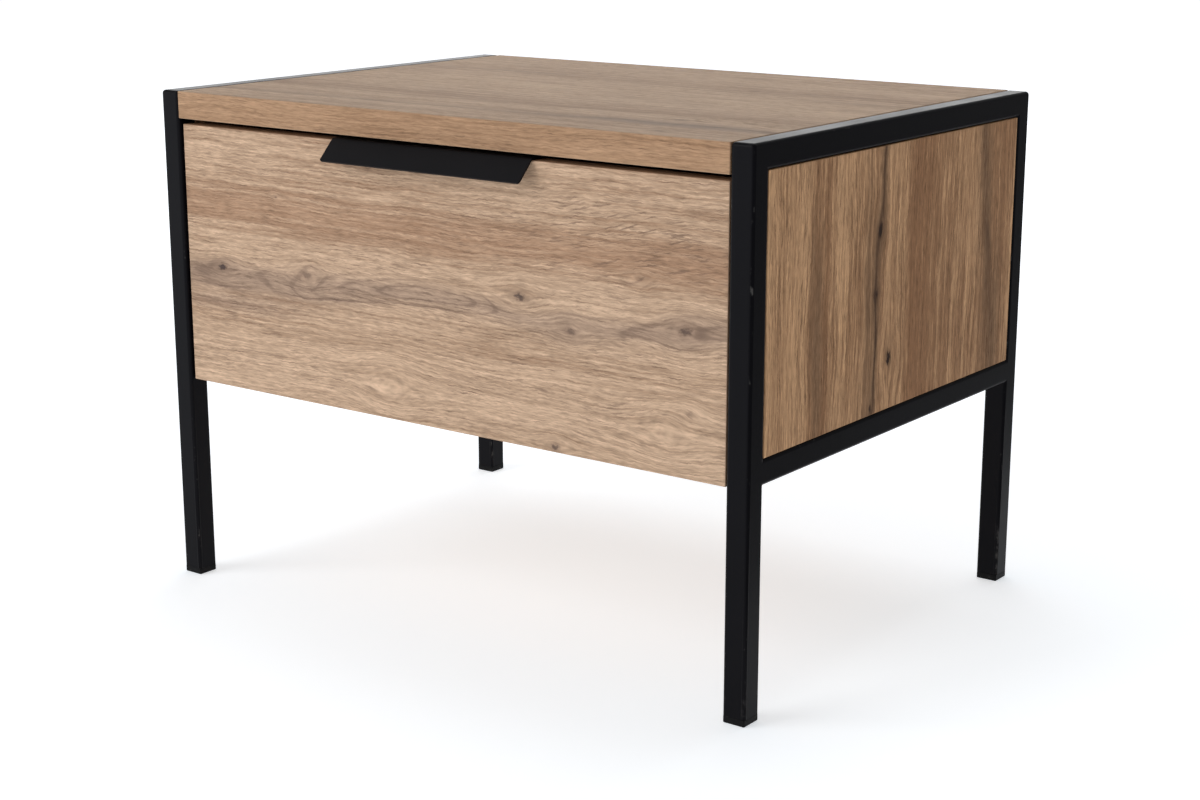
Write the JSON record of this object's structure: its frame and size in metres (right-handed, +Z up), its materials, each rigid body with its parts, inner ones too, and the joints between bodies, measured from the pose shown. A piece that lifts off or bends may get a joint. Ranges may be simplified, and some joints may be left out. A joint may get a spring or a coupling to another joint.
{
  "type": "side table with drawer",
  "caption": "Low side table: black square-tube side frames around oak-look boards, with one drawer on ball-bearing slides.",
  "frame": {"origin": "on the floor, under the centre of the whole table's box, handle included", "axes": "+X to the right along the width, +Y to the back (the drawer opens towards -Y), +Z up"},
  "size_m": [0.6, 0.4446, 0.432],
  "materials": {
    "black_powder_coat": "fine-textured satin black powder coat",
    "black_plastic": "matte moulded plastic",
    "oak_laminate": "oak-decor melamine board, satin, light embossed pores",
    "box_laminate": "plain oak-tone melamine board, satin",
    "zinc_plate": "bright zinc-plated pressed steel",
    "screw_zinc": "zinc-plated screw",
    "cam_die_cast": "die-cast zinc cam"
  },
  "bodies": {
    "cabinet": {"left_leg_front": "black_powder_coat", "left_leg_rear": "black_powder_coat", "left_top_rail": "black_powder_coat", "left_lower_rail": "black_powder_coat", "right_leg_front": "black_powder_coat", "right_leg_rear": "black_powder_coat", "right_top_rail": "black_powder_coat", "right_lower_rail": "black_powder_coat", "foot_cap_left_front": "black_plastic", "foot_cap_left_rear": "black_plastic", "foot_cap_right_front": "black_plastic", "foot_cap_right_rear": "black_plastic", "top_panel": "oak_laminate", "left_side_panel": "oak_laminate", "right_side_panel": "oak_laminate", "back_panel": "oak_laminate", "bottom_panel": "oak_laminate", "weld_tab_left_front": "black_powder_coat", "weld_tab_left_rear": "black_powder_coat", "weld_tab_right_front": "black_powder_coat", "weld_tab_right_rear": "black_powder_coat", "tab_screw_left_front": "screw_zinc", "tab_screw_left_rear": "screw_zinc", "tab_screw_right_front": "screw_zinc", "tab_screw_right_rear": "screw_zinc", "left_top_bracket": "zinc_plate", "right_top_bracket": "zinc_plate", "left_bracket_screw_up": "screw_zinc", "left_bracket_screw_side": "screw_zinc", "right_bracket_screw_up": "screw_zinc", "right_bracket_screw_side": "screw_zinc", "left_slide_cabinet_member": "zinc_plate", "right_slide_cabinet_member": "zinc_plate", "left_slide_screw_cabinet_front": "screw_zinc", "left_slide_screw_cabinet_rear": "screw_zinc", "right_slide_screw_cabinet_front": "screw_zinc", "right_slide_screw_cabinet_rear": "screw_zinc"},
    "drawer": {"drawer_front": "oak_laminate", "handle": "black_powder_coat", "handle_screw_left": "screw_zinc", "handle_screw_right": "screw_zinc", "drawer_side_left": "box_laminate", "drawer_side_right": "box_laminate", "drawer_back": "box_laminate", "drawer_bottom": "box_laminate", "drawer_cam_left_lower": "cam_die_cast", "drawer_cam_left_upper": "cam_die_cast", "drawer_cam_right_lower": "cam_die_cast", "drawer_cam_right_upper": "cam_die_cast", "left_slide_drawer_member": "zinc_plate", "right_slide_drawer_member": "zinc_plate", "left_slide_screw_drawer_front": "screw_zinc", "left_slide_screw_drawer_rear": "screw_zinc", "right_slide_screw_drawer_front": "screw_zinc", "right_slide_screw_drawer_rear": "screw_zinc"},
    "left_cage": {"left_slide_ball_cage": "zinc_plate"},
    "right_cage": {"right_slide_ball_cage": "zinc_plate"}
  },
  "joints": [
    {"name": "drawer_slide", "type": "slide", "parent": "cabinet", "child": "drawer", "axis": [0, -1, 0], "range_m": [0, 0.25]},
    {"name": "left_cage_slide", "type": "slide", "parent": "cabinet", "child": "left_cage", "axis": [0, -1, 0], "range_m": [0, 0.125]},
    {"name": "right_cage_slide", "type": "slide", "parent": "cabinet", "child": "right_cage", "axis": [0, -1, 0], "range_m": [0, 0.125]}
  ],
  "couplings": [
    {"joint": "left_cage_slide", "follows": "drawer_slide", "ratio": 0.5},
    {"joint": "right_cage_slide", "follows": "drawer_slide", "ratio": 0.5}
  ]
}
